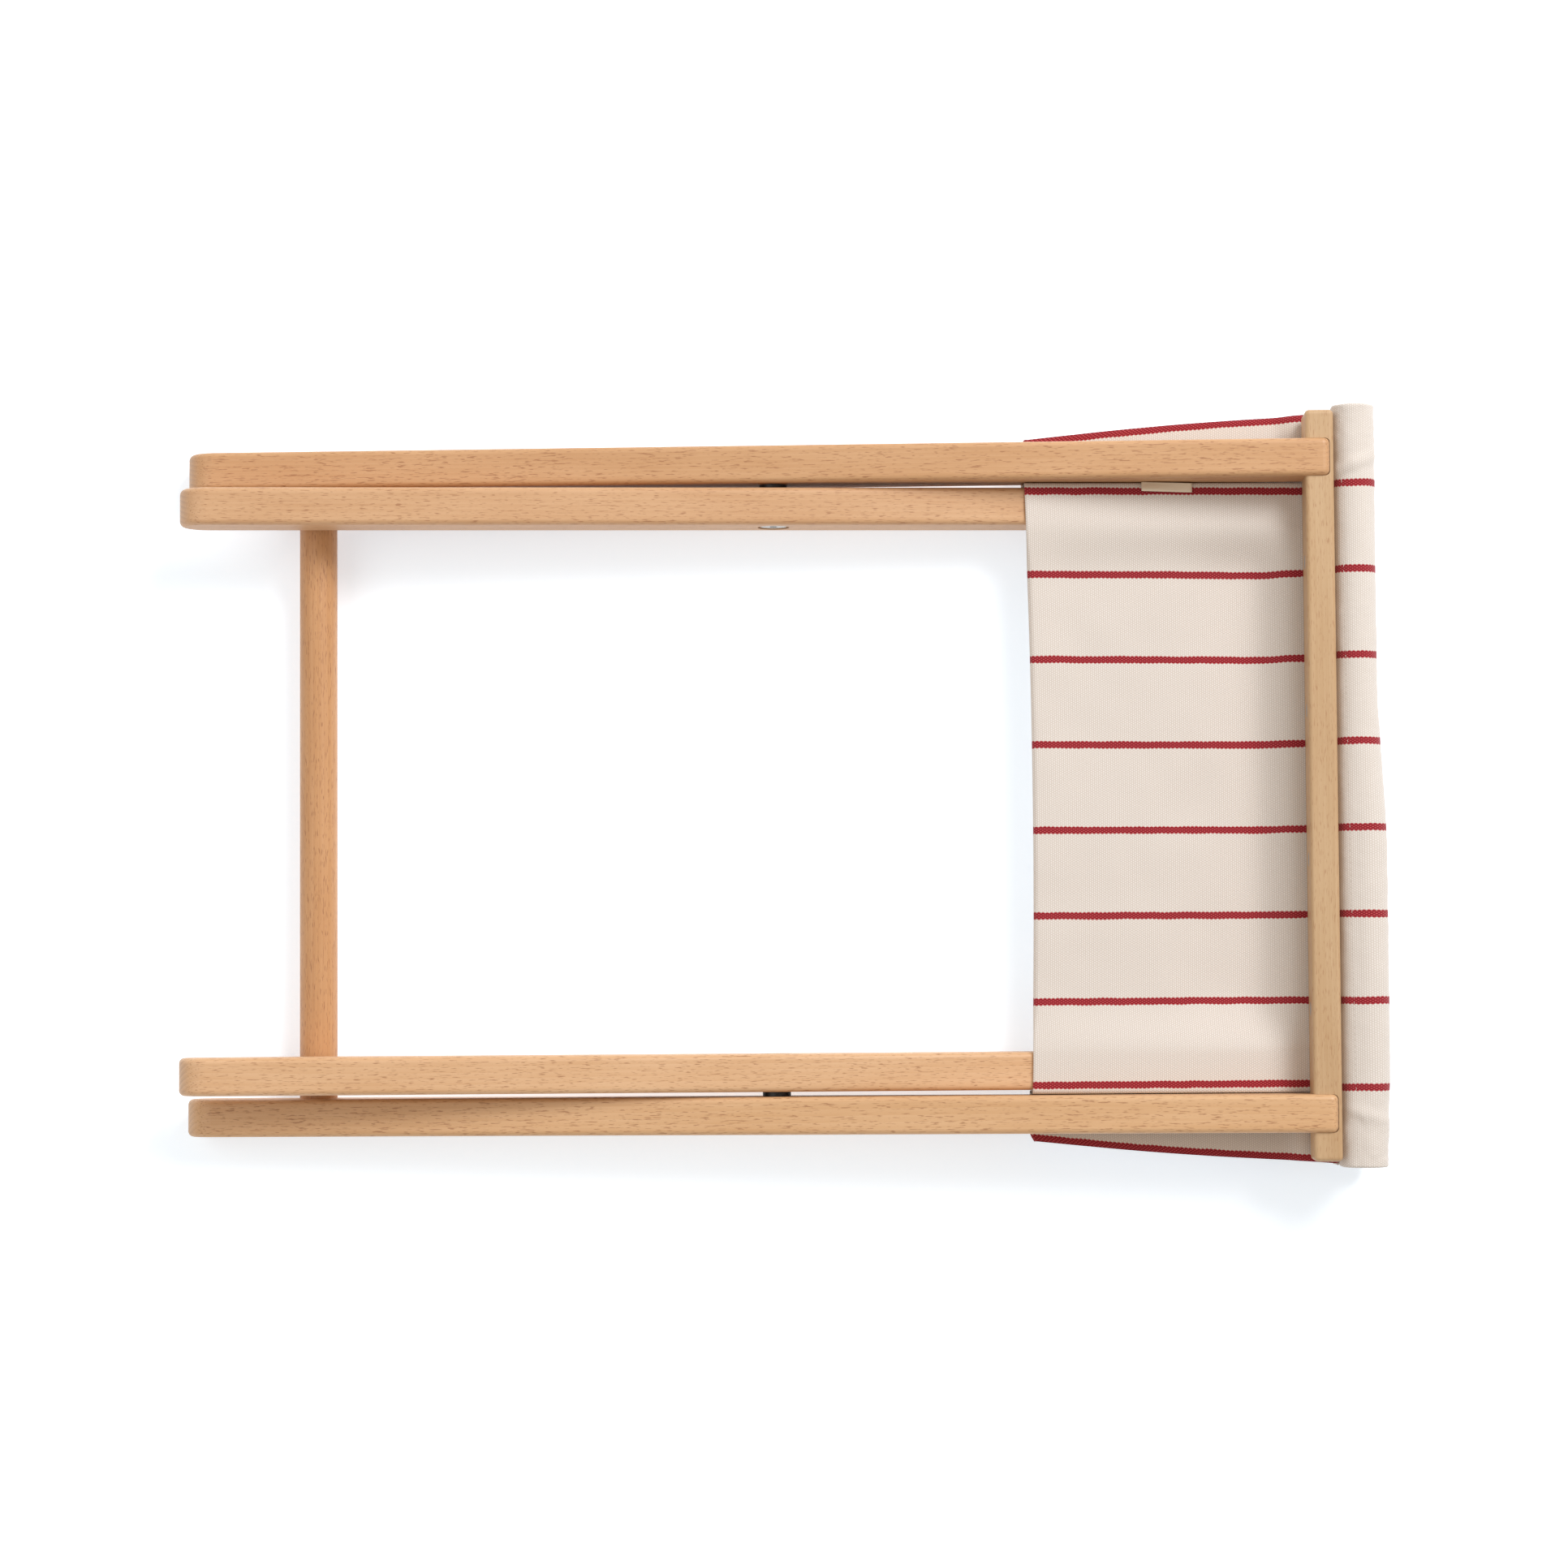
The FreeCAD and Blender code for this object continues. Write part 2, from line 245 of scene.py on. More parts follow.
# ---- finishes -----------------------------------------------------------------------------
@dataclass(frozen=True)
class Beech:
    """Steamed beech, planed, sanded and matt lacquered.

    It is an even warm tan. Short dark ray flecks lie along the fibres, growth rings show
    faintly, and the end grain is darker and greyer.
    """

    name: str
    grain: Grain
    side: Frame
    board: tuple[float, float, float]  # where in the board the piece was cut, in millimetres
    light: str
    dark: str
    fleck: str = "9c6742"
    end: str = "b38d6e"
    ring_period: float = 2.6
    fleck_length: float = 3.0
    fleck_width: float = 0.32
    fleck_strength: float = 0.5
    roughness: float = 0.46

    def material(self) -> bpy.types.Material:
        """Returns the node material of this piece of beech."""
        material, tree = new_material(self.name)
        turn = math.radians(HALF_ANGLE) * self.side.value
        quarter = -math.pi / 2.0 if self.grain is Grain.ACROSS_STOOL else 0.0
        rotation = Euler((0.0, turn, quarter))
        fibres = add(tree, "Mapping", {
            "Vector": add(tree, "TexCoord", output="Object"), "Location": self.board,
            "Rotation": rotation, "Scale": (1000.0, 1000.0, 1000.0)})
        facing = add(tree, "Mapping", {
            "Vector": add(tree, "TexCoord", output="Normal"), "Rotation": rotation})
        facing_end = add(tree, "Math", (add(tree, "SeparateXYZ", (facing,)),),
                         operation="ABSOLUTE")
        end_grain = add(tree, "MapRange", (facing_end, 0.55, 0.95))
        face_grain = add(tree, "Math", (1.0, end_grain), operation="SUBTRACT")

        stretched = add(tree, "Mapping", {"Vector": fibres, "Scale": (0.16, 1.0, 1.0)})
        rings = add(tree, "TexWave", {
            "Vector": stretched, "Scale": math.pi / 10.0 / self.ring_period,
            "Distortion": 9.0, "Detail": 2.0, "Detail Scale": 0.12, "Detail Roughness": 0.45},
            "Fac", wave_type="RINGS", rings_direction="X", wave_profile="SAW")
        clouds = add(tree, "TexNoise", {"Vector": stretched, "Scale": 0.09, "Detail": 3.0})
        long_lines = add(tree, "Mapping", {"Vector": fibres, "Scale": (0.035, 2.6, 2.6)})
        fibre_lines = add(tree, "TexNoise", {
            "Vector": long_lines, "Scale": 1.0, "Detail": 3.0, "Roughness": 0.6})
        dashes = add(tree, "Mapping", {
            "Vector": fibres, "Scale": (1.0 / self.fleck_length, 1.0 / self.fleck_width,
                                        1.0 / self.fleck_width)})
        flecks = add(tree, "TexNoise", {
            "Vector": dashes, "Scale": 0.62, "Detail": 1.0, "Roughness": 0.5})
        flecks = add(tree, "MapRange", (flecks, 0.6, 0.68))
        flecks = add(tree, "Math", (flecks, face_grain), operation="MULTIPLY")

        tone = add(tree, "Math", (add(tree, "MapRange", (clouds, 0.25, 0.75, 0.0, 0.55)),
                                  add(tree, "MapRange", (rings, 0.0, 1.0, 0.0, 0.30))))
        tone = add(tree, "Math", (add(tree, "MapRange", (fibre_lines, 0.3, 0.7, -0.08, 0.16)),
                                  tone), use_clamp=True)
        board = add(tree, "Mix", {0: tone, 6: linear(self.light), 7: linear(self.dark)}, 2,
                    data_type="RGBA")
        fleck_share = add(tree, "Math", (flecks, self.fleck_strength), operation="MULTIPLY")
        flecked = add(tree, "Mix", {0: fleck_share, 6: board, 7: linear(self.fleck)}, 2,
                      data_type="RGBA")
        end_share = add(tree, "Math", (
            end_grain, add(tree, "MapRange", (rings, 0.35, 1.0, 0.35, 0.95))),
            operation="MULTIPLY")
        ended = add(tree, "Mix", {0: end_share, 6: flecked, 7: linear(self.end)}, 2,
                    data_type="RGBA")
        pores = add(tree, "Math", (flecks, -0.35), operation="MULTIPLY")
        relief = add(tree, "Math", (fibre_lines, 0.5, pores), operation="MULTIPLY_ADD")
        bump = add(tree, "Bump", {"Strength": 0.35, "Distance": 0.00012, "Height": relief})
        rough = add(tree, "MapRange", (fibre_lines, 0.2, 0.8,
                                       self.roughness - 0.05, self.roughness + 0.07))
        add(tree, "OutputMaterial", (add(tree, "BsdfPrincipled", {
            "Base Color": ended, "IOR": 1.5, "Normal": bump, "Roughness": rough}),))
        return material


@dataclass(frozen=True)
class Canvas:
    """Cotton canvas, warp-faced plain weave, undyed, with thin dark red warp stripes.

    The crowded warp stands up as rows of small beads and hides the weft, so the ground is
    finely dotted, and a stripe is scalloped at its edges. The dots are painted shade and light:
    the hollows between the beads are painted darker, and in a stripe each bead's crown is
    painted paler, as a painted highlight.
    """

    name: str = "cotton canvas, warp-faced, striped"
    warp: str = "eae2db"
    # Painted shade: the darker cream of the hollows between the beads; it is also the duller tone
    # that random uneven fibres take.
    pit_shade_and_dull_fibre: str = "cabdb1"
    # The stripe's red dye, taken darker as painted shade between the bead crowns.
    red: str = "82111b"
    # Painted highlight: the paler red of each bead's crown in a stripe.
    red_crown_highlight: str = "cf5258"
    stripe_pitch: float = 45.5
    threads_per_pitch: int = 73
    stripe_threads: int = 7
    pick: float = 1.1               # from one weft thread to the next

    def material(self) -> bpy.types.Material:
        """Returns the node material of the canvas, which reads the cloth's own measures."""
        material, tree = new_material(self.name)
        thread = self.stripe_pitch / self.threads_per_pitch
        cloth = add(tree, "TexCoord", output="UV")
        along_m = add(tree, "SeparateXYZ", (cloth,))
        across_m = add(tree, "SeparateXYZ", (cloth,), 1)
        wander = add(tree, "TexNoise", {"Vector": cloth, "Scale": 90.0, "Detail": 2.0})
        wander = add(tree, "MapRange", (wander, 0.2, 0.8, -0.3, 0.3))
        across = add(tree, "Math", (across_m, 1000.0, wander), operation="MULTIPLY_ADD")
        wave_along = add(tree, "Math", (add(tree, "Math", (
            along_m, 1000.0 * math.pi / self.pick), operation="MULTIPLY"),), operation="SINE")
        wave_across = add(tree, "Math", (add(tree, "Math", (
            across, math.pi / thread), operation="MULTIPLY"),), operation="SINE")
        crossing = add(tree, "Math", (wave_along, wave_across), operation="MULTIPLY")
        crest = add(tree, "Math", (wave_along,), operation="ABSOLUTE")
        bead = add(tree, "Math", (crossing, 0.30, add(tree, "Math", (
            crest, 0.50), operation="MULTIPLY")), operation="MULTIPLY_ADD")
        bead = add(tree, "MapRange", (bead, -0.05, 0.75))

        turns = add(tree, "Math", (add(tree, "Math", (across, self.stripe_pitch),
                                       operation="DIVIDE"),), operation="FRACT")
        from_stripe = add(tree, "Math", (add(tree, "Math", (turns, 0.5),
                                             operation="SUBTRACT"),), operation="ABSOLUTE")
        half = self.stripe_threads / 2.0 / self.threads_per_pitch
        row = 1.0 / self.threads_per_pitch
        edge_reach = add(tree, "MapRange", (from_stripe, half - row, half - 0.3 * row,
                                            -1.0, 0.35))
        beyond = add(tree, "MapRange", (from_stripe, half, half + 0.5 * row, 0.0, 2.0))
        edge_reach = add(tree, "Math", (edge_reach, beyond))
        in_stripe = add(tree, "Math", (crossing, edge_reach), operation="GREATER_THAN")

        fibre = add(tree, "TexNoise", {"Vector": cloth, "Scale": 900.0, "Detail": 2.0})
        uneven = add(tree, "MapRange", (fibre, 0.3, 0.8, 0.0, 0.3))
        # Painted shade: by the beads' height, the hollows take the darker cream and the bead tops
        # the paler.
        ground = add(tree, "Mix", {0: bead, 6: linear(self.pit_shade_and_dull_fibre), 7: linear(self.warp)}, 2,
                     data_type="RGBA")
        # Random uneven fibres are dulled towards the same darker cream; that is the cloth's own
        # tone.
        ground = add(tree, "Mix", {0: uneven, 6: ground, 7: linear(self.pit_shade_and_dull_fibre)}, 2,
                     data_type="RGBA")
        # Painted highlight: each bead's crown in a stripe is painted paler red, and the red
        # between the crowns stays darker as painted shade.
        crown = add(tree, "MapRange", (crossing, 0.0, 0.9))
        stripe = add(tree, "Mix", {0: crown, 6: linear(self.red), 7: linear(self.red_crown_highlight)}, 2,
                     data_type="RGBA")
        dyed = add(tree, "Mix", {0: in_stripe, 6: ground, 7: stripe}, 2, data_type="RGBA")
        bump = add(tree, "Bump", {"Strength": 0.5, "Distance": 0.0002, "Height": bead})
        add(tree, "OutputMaterial", (add(tree, "BsdfPrincipled", {
            "Base Color": dyed, "Roughness": 0.88, "IOR": 1.5, "Specular IOR Level": 0.25,
            "Sheen Weight": 0.12, "Sheen Roughness": 0.6, "Normal": bump}),))
        return material


@dataclass(frozen=True)
class Ribbon:
    """Cotton tape, a fine close weave: smooth beside the canvas, with faint cross ribs."""

    name: str = "cotton tape, undyed"
    colour: str = "f4e6cf"
    shade: str = "e6d5b9"
    rib: float = 0.5

    def material(self) -> bpy.types.Material:
        """Returns the node material of the tape."""
        material, tree = new_material(self.name)
        along = add(tree, "SeparateXYZ", (add(tree, "TexCoord", output="UV"),))
        ribs = add(tree, "Math", (add(tree, "Math", (
            along, 2.0 * math.pi / (self.rib * MM)), operation="MULTIPLY"),), operation="SINE")
        # Painted shade: the tape is painted darker and paler in step with its ribs.
        share = add(tree, "MapRange", (ribs, -1.0, 1.0, 0.0, 0.5))
        colour = add(tree, "Mix", {0: share, 6: linear(self.colour), 7: linear(self.shade)}, 2,
                     data_type="RGBA")
        bump = add(tree, "Bump", {"Strength": 0.3, "Distance": 0.0001, "Height": ribs})
        add(tree, "OutputMaterial", (add(tree, "BsdfPrincipled", {
            "Base Color": colour, "Roughness": 0.7, "IOR": 1.5, "Normal": bump}),))
        return material


@dataclass(frozen=True)
class SewingThread:
    """Spun polyester thread, cream and slightly shiny, its twist painted as slanting darker ribs
    of painted shade.
    """

    name: str = "spun polyester thread"
    colour: str = "d9cfc4"
    shade: str = "a4968a"
    twist: float = 0.5

    def material(self) -> bpy.types.Material:
        """Returns the node material of the thread."""
        material, tree = new_material(self.name)
        where = add(tree, "TexCoord", output="Object")
        slant = add(tree, "Math", (add(tree, "SeparateXYZ", (where,)),
                                   add(tree, "SeparateXYZ", (where,), 1)))
        ribs = add(tree, "Math", (add(tree, "Math", (
            slant, 2.0 * math.pi / (self.twist * MM)), operation="MULTIPLY"),),
            operation="SINE")
        # Painted shade: the twist's grooves are painted darker; the thread has no bump.
        share = add(tree, "MapRange", (ribs, -1.0, 1.0, 0.0, 0.6))
        colour = add(tree, "Mix", {0: share, 6: linear(self.colour), 7: linear(self.shade)}, 2,
                     data_type="RGBA")
        add(tree, "OutputMaterial", (add(tree, "BsdfPrincipled", {
            "Base Color": colour, "Roughness": 0.55, "IOR": 1.5}),))
        return material


@dataclass(frozen=True)
class PlatedSteel:
    """Steel with a bright plating, turned: fine scratches break up its reflections."""

    name: str
    colour: str
    worn: str
    roughness: float

    def material(self) -> bpy.types.Material:
        """Returns the node material of the plated steel."""
        material, tree = new_material(self.name)
        stretched = add(tree, "Mapping", {
            "Vector": add(tree, "TexCoord", output="Object"),
            "Scale": (2500.0, 300.0, 2500.0)})
        scratches = add(tree, "TexNoise", {"Vector": stretched, "Scale": 1.0, "Detail": 2.0})
        share = add(tree, "MapRange", (scratches, 0.45, 0.8))
        colour = add(tree, "Mix", {0: share, 6: linear(self.colour), 7: linear(self.worn)}, 2,
                     data_type="RGBA")
        rough = add(tree, "MapRange", (scratches, 0.2, 0.8,
                                       self.roughness - 0.06, self.roughness + 0.12))
        add(tree, "OutputMaterial", (add(tree, "BsdfPrincipled", {
            "Base Color": colour, "Metallic": 1.0, "Roughness": rough}),))
        return material


@dataclass(frozen=True)
class Nylon:
    """Black moulded nylon: a satin face with a faint moulded mottle."""

    name: str = "nylon, black, moulded"
    colour: str = "1b1a1a"
    sheen: str = "2a2828"

    def material(self) -> bpy.types.Material:
        """Returns the node material of the nylon."""
        material, tree = new_material(self.name)
        where = add(tree, "TexCoord", output="Object")
        mottle = add(tree, "TexNoise", {"Vector": where, "Scale": 1500.0, "Detail": 2.0})
        share = add(tree, "MapRange", (mottle, 0.3, 0.7))
        colour = add(tree, "Mix", {0: share, 6: linear(self.colour), 7: linear(self.sheen)}, 2,
                     data_type="RGBA")
        rough = add(tree, "MapRange", (mottle, 0.2, 0.8, 0.36, 0.5))
        add(tree, "OutputMaterial", (add(tree, "BsdfPrincipled", {
            "Base Color": colour, "IOR": 1.53, "Roughness": rough}),))
        return material


@dataclass(frozen=True)
class FloorPaint:
    """Matt white paint on a smooth floor, lit from below as on a light table.

    The glow keeps the floor white and its shadows pale; the paint's shade is faintly uneven.
    """

    name: str = "matt white floor paint"
    colour: str = "f6f6f6"
    shade: str = "f4f4f4"
    glow: float = 0.40
    glow_tint: tuple[float, float, float, float] = (0.88, 1.07, 1.24, 1.0)

    def material(self) -> bpy.types.Material:
        """Returns the node material of the floor."""
        material, tree = new_material(self.name)
        where = add(tree, "TexCoord", output="Object")
        patches = add(tree, "TexNoise", {"Vector": where, "Scale": 2.0, "Detail": 2.0})
        colour = add(tree, "Mix", {0: patches, 6: linear(self.colour), 7: linear(self.shade)},
                     2, data_type="RGBA")
        add(tree, "OutputMaterial", (add(tree, "BsdfPrincipled", {
            "Base Color": colour, "Roughness": 0.9, "IOR": 1.45, "Specular IOR Level": 0.1,
            "Emission Color": self.glow_tint, "Emission Strength": self.glow}),))
        return material


# Each board has its own colour, as boards do: its light and dark wood, and how strongly
# its flecks show. The right-hand legs are also painted lighter than the left: painted light,
# standing in for the stronger light that falls on them.
BOARD_TONES_AND_PAINTED_LIGHT: dict[str, tuple[str, str, float]] = {
    "outer_leg_left": ("d1a479", "c08e60", 0.72),
    "outer_leg_right": ("dcb287", "cb9b6b", 0.68),
    "inner_leg_left": ("d5aa81", "c49367", 0.68),
    "inner_leg_right": ("e0b68d", "cf9f71", 0.68),
    "outer_top_rail": ("c8a780", "b99369", 0.45),
    "inner_top_rail": ("c8a780", "b99369", 0.45),
    "outer_stretcher": ("cf9c6d", "bd8655", 0.72),
    "outer_seat_bar": ("cf9c6d", "bd8655", 0.6),
    "inner_seat_bar": ("cf9c6d", "bd8655", 0.6),
}


# ---- the wooden frames and their metal -------------------------------------------------------
@dataclass
class LegFrame:
    """One crossed frame: two legs, a top rail, a seat bar and, outside, the stretcher."""

    side: Frame
    legs: tuple[str, ...]
    crossing_pieces: tuple[str, ...]

    def dress(self) -> None:
        """Gives each wooden piece of the frame its own piece of beech."""
        for number, name in enumerate(self.legs):
            self.clothe(name, Grain.ALONG_LEG,
                        (37.0 * number + 11.0, 63.0 + 21.0 * number * self.side.value, 29.0))
        for number, name in enumerate(self.crossing_pieces):
            self.clothe(name, Grain.ACROSS_STOOL,
                        (53.0 * number + 5.0, 18.0 + 9.0 * number, 70.0 * self.side.value))

    def clothe(self, name: str, grain: Grain, board: tuple[float, float, float]) -> None:
        """Dresses one piece in beech.

        Args:
            name: The piece's node.
            grain: Which way its fibres run.
            board: Where in the board the piece was cut, in millimetres.
        """
        # The right-hand legs' tones are painted lighter, as painted light.
        light, dark, fleck_strength = BOARD_TONES_AND_PAINTED_LIGHT[name]
        wood = Beech(f"beech, matt lacquered, {name}", grain, self.side, board,
                     light, dark, fleck_strength=fleck_strength)
        dress(frame["nodes"][name], wood.material())
        LOG.info("%s dressed in beech, grain %s", name, grain.value)


@dataclass
class Fittings:
    """The pivots' sleeve nuts, bolts and spacers, and the wood screws."""

    nickel: PlatedSteel = PlatedSteel("steel, nickel plated, turned", "c9c5bd", "a9a59c", 0.24)
    zinc: PlatedSteel = PlatedSteel("steel, zinc plated", "b9babb", "8f9092", 0.36)
    nylon: Nylon = Nylon()

    def dress(self) -> None:
        """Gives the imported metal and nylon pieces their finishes."""
        finishes = {"pivot_": self.nickel.material(), "_screws": self.zinc.material(),
                    "spacer_": self.nylon.material()}
        for name, node in frame["nodes"].items():
            for word, material in finishes.items():
                if word in name:
                    dress(node, material)
                    LOG.info("%s dressed in %s", name, material.name)


# ---- the canvas seat --------------------------------------------------------------------------
@dataclass
class SeatDrape:
    """How the doubled canvas lies between the folded frames.

    From the middle of the stool outwards it sags, climbs onto the inner legs, drops through
    the gap beside each and hangs loose under the outer legs, where its edges show.
    """

    selvage: float = 206.5          # from the middle of the cloth to its edge
    fold_reach: float = 137.3       # from the pivot to the fold, at the middle
    fold_curve: float = 2.2         # how far the fold draws back at the legs
    fold_tilt: float = 0.7          # and further at one side, less at the other
    fold_corner: float = 3.0        # how far the loose corners curl away
    seam_reach: float = 297.0
    lap: float = 0.95               # from one layer to the next where they lie close
    inner_leg_from: float = 140.2
    inner_leg_to: float = 160.2
    outer_leg_from: float = 162.8
    taken_up: float = 1.5           # cloth used up in climbing onto an inner leg
    leg_half_depth: float = 15.0
    rail_start: float = 281.6
    climb_from: float = 108.0       # from the middle, where the cloth starts up to the leg
    first_sag: float = 4.6          # below the legs' upper side at the fold
    further_sag: float = 2.6        # more by the middle of the panel
    rail_sag: float = 4.0           # and more again in front of the rail
    edge_at_fold: float = 187.8     # from the middle of the stool to the loose edge
    edge_at_rail: float = 199.0
    edge_bulge: float = 1.2
    edge_droop: float = 1.0         # of the loose edge below the outer legs, at the fold
    further_droop: float = 4.2      # more by the rail

    def leg_face(self, x: float) -> float:
        """Returns how high the inner legs' upper side stands at X."""
        lean = math.radians(HALF_ANGLE)
        return max(0.0, self.leg_half_depth / math.cos(lean) - x * math.tan(lean))

    def fold_radius(self, across: float) -> float:
        """Returns the radius of the fold, which is tighter over the legs and at the edges."""
        free, on_leg, past_leg = 2.6, 0.75, 1.3
        reaches_leg = ease((abs(across) - 112.0) / 26.0)
        leaves_leg = ease((abs(across) - 168.0) / 12.0)
        return lerp(lerp(free, on_leg, reaches_leg), past_leg, leaves_leg)

    def fold_line(self, across: float) -> float:
        """Returns the X of the fold's foremost line."""
        by_corner = max(0.0, (abs(across) - self.selvage + 7.5) / 7.5)
        out = across / LEG_MIDDLE
        return (self.fold_reach - self.fold_curve * out ** 2 - self.fold_tilt * out
                + self.fold_corner * by_corner ** 2)

    def sag(self, x: float) -> float:
        """Returns the height of the cloth between the inner legs."""
        hung = self.leg_face(x) - self.first_sag
        hung -= self.further_sag * ease((x - 140.0) / 90.0)
        hung -= self.rail_sag * ease((x - 200.0) / 55.0)
        return hung * (1.0 - ease((x - 256.0) / (self.rail_start - 258.0)))

    def droop(self, x: float) -> float:
        """Returns how far the loose edge hangs below the outer legs."""
        down = self.edge_droop + self.further_droop * ((x - FOLD_END) / 140.0) ** 2
        return down * (1.0 - ease((x - 268.0) / (self.rail_start - 269.0)))

    def edge_reach(self, x: float) -> float:
        """Returns how far the cloth's edge lies from the middle of the stool."""
        share = (x - FOLD_END) / (self.rail_start - FOLD_END)
        bulge = self.edge_bulge * math.sin(math.pi * min(1.0, max(0.0, share)))
        return lerp(self.edge_at_fold, self.edge_at_rail, share) + bulge

    def section(self, x: float, across: float, layer: float) -> tuple[float, float]:
        """Returns the Y and Z of the doubled cloth's middle at X.

        Args:
            x: Millimetres from the pivot towards the seat end.
            across: Millimetres from the middle of the cloth, along it.
            layer: 1 for the front layer and -1 for the back one.

        Returns:
            The Y and Z, in millimetres from the pivot.
        """
        far = abs(across)
        high = self.leg_face(x) + ABOVE_LEG + self.lap / 2.0
        low = -high
        gap_in = self.inner_leg_to - 0.2
        gap_from = gap_in + self.taken_up
        gap_out = self.outer_leg_from + 0.2
        flap_width = self.edge_reach(x) - gap_out
        flap_from = self.selvage - flap_width
        if far <= gap_from:
            y = far - self.taken_up * ease((far - 114.0) / 36.0)
            climb = self.inner_leg_from + 1.0 - self.climb_from
            z = lerp(self.sag(x), high, ease((y - self.climb_from) / climb) ** 1.4)
        elif far <= flap_from:
            share = (far - gap_from) / (flap_from - gap_from)
            wall = (self.inner_leg_to + self.outer_leg_from) / 2.0 + layer * self.lap / 2.0
            y = lerp(gap_in, wall, ease(share / 0.22))
            y += (gap_out - wall) * ease((share - 0.78) / 0.22)
            z = lerp(high, low, ease((share - 0.04) / 0.92))
        else:
            y = gap_out + far - flap_from
            z = low - self.droop(x) * ease((y - gap_out) / 22.0)
        return math.copysign(y, across), z

    def spot(self, along: float, across: float, layer: float) -> Vector:
        """Returns where a spot of the cloth lies.

        Args:
            along: Millimetres from the fold, along the warp.
            across: Millimetres from the middle of the cloth.
            layer: 1 for the front layer and -1 for the back one.

        Returns:
            The place, in metres.
        """
        radius = self.fold_radius(across)
        start = self.fold_line(across)
        quarter = radius * math.pi / 2.0
        if along < quarter:
            turn = along / radius
            x, lift = start + radius * (1.0 - math.cos(turn)), radius * math.sin(turn)
        else:
            flat = start + radius
            share = (along - quarter) / (self.length() - quarter)
            x = lerp(flat, self.seam_reach, share)
            close = self.lap / 2.0 if abs(across) > self.inner_leg_from else 1.2
            rest = lerp(self.lap / 2.0 + 0.1, close, ease((x - 262.0) / 20.0))
            lift = lerp(rest, radius, bell(x - flat, 16.0))
        y, z = self.section(x, across, layer)
        ripple = noise.noise(Vector((x * 0.021, across * 0.017, 0.4))) * 1.6
        ripple += noise.noise(Vector((x * 0.05, across * 0.045, 3.1))) * 0.5
        calm = ease((132.0 - abs(across)) / 30.0) * ease((258.0 - x) / 30.0)
        return place(x, y, z + layer * lift + ripple * calm)

    def length(self) -> float:
        """Returns the length of one half of the seat, from its fold to its seam."""
        return self.seam_reach - self.fold_reach + 1.0


@dataclass
class SeatPanel:
    """One half of the doubled seat, from the fold to the seam at its pocket."""

    name: str
    body: str
    joint: str
    node: str
    layer: float
    drape: SeatDrape
    rows: int = 92
    columns: int = 250
    thickness: float = 0.7
    keep: float = 0.05

    def across(self, share: float) -> float:
        """Returns the cloth measure at a share of the columns, closer together by the gaps."""
        near, far, edge = 150.0, 188.0, self.drape.selvage
        weights = (edge - far, 2.6 * (far - near), 2.0 * near)
        stops = (-edge, -far, -near, near, far, edge)
        parts = (weights[0], weights[1], weights[2], weights[1], weights[0])
        left = share * sum(parts)
        for part, low, high in zip(parts, stops, stops[1:]):
            if left <= part or high == edge:
                return lerp(low, high, min(1.0, left / part))
            left -= part
        return edge

    def spot(self, first: float, second: float) -> tuple[float, float, Vector]:
        """Returns a spot's cloth measures and its place, from its shares of the grid."""
        along = self.drape.length() * first ** 1.7
        across = self.across(second)
        return along, across, self.drape.spot(along, across, self.layer)

    def build(self, canvas: bpy.types.Material) -> bpy.types.Object:
        """Makes the panel, dresses it and hangs it on its body.

        Args:
            canvas: The canvas material.

        Returns:
            The finished piece.
        """
        panel = to_object(self.name, cloth_grid(self.rows, self.columns, self.spot))
        thicken(panel, self.thickness)
        dress(panel, canvas)
        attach(panel, self.body)
        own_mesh(panel)
        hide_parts(self.node)
        return panel


